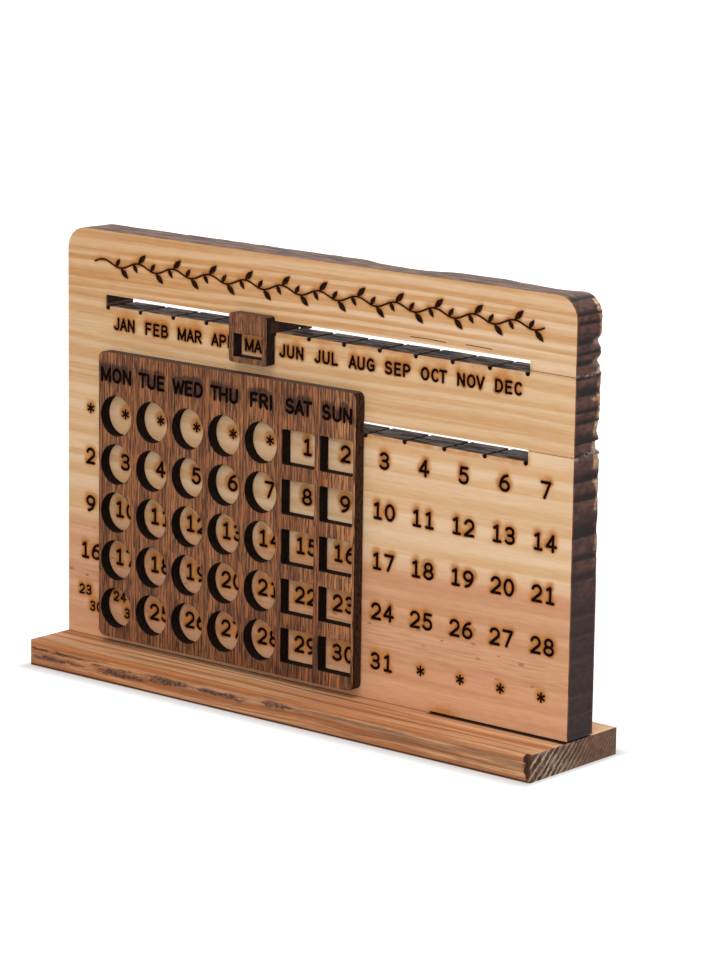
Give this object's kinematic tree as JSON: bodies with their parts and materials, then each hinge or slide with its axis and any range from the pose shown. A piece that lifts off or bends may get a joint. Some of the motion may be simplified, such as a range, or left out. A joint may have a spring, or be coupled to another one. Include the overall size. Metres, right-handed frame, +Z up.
{
  "type": "sliding perpetual desk calendar",
  "caption": "Wooden desk calendar: a slotted pine panel on a plank base, with a windowed walnut date plate and a small month pointer that slide along the slots on hooks.",
  "frame": {"origin": "middle of the base's underside, where the calendar stands on a desk", "axes": "+Z up, +X to the right along the panel as seen from the front, +Y to the back; the dates face -Y"},
  "size_m": [0.29, 0.0628, 0.2022],
  "materials": {
    "base_pine": "planed, unsealed, strong lengthwise grain",
    "panel_pine": "planed, unsealed, charred where it was cut by laser",
    "walnut": "matt, with charred edges",
    "hook_walnut": "charred by the laser"
  },
  "bodies": {
    "stand": {"base_plank": "base_pine", "lower_stave": "panel_pine", "middle_stave": "panel_pine", "upper_stave": "panel_pine"},
    "date_slider": {"date_plate": "walnut", "date_hook_left": "hook_walnut", "date_hook_right": "hook_walnut"},
    "month_slider": {"month_pointer": "walnut", "month_hook_left": "hook_walnut", "month_hook_right": "hook_walnut"}
  },
  "joints": [
    {"name": "date_slide", "type": "slide", "parent": "stand", "child": "date_slider", "axis": [1, 0, 0], "range_m": [-0.02182, 0.10909]},
    {"name": "month_slide", "type": "slide", "parent": "stand", "child": "month_slider", "axis": [1, 0, 0], "range_m": [-0.08, 0.14]}
  ]
}
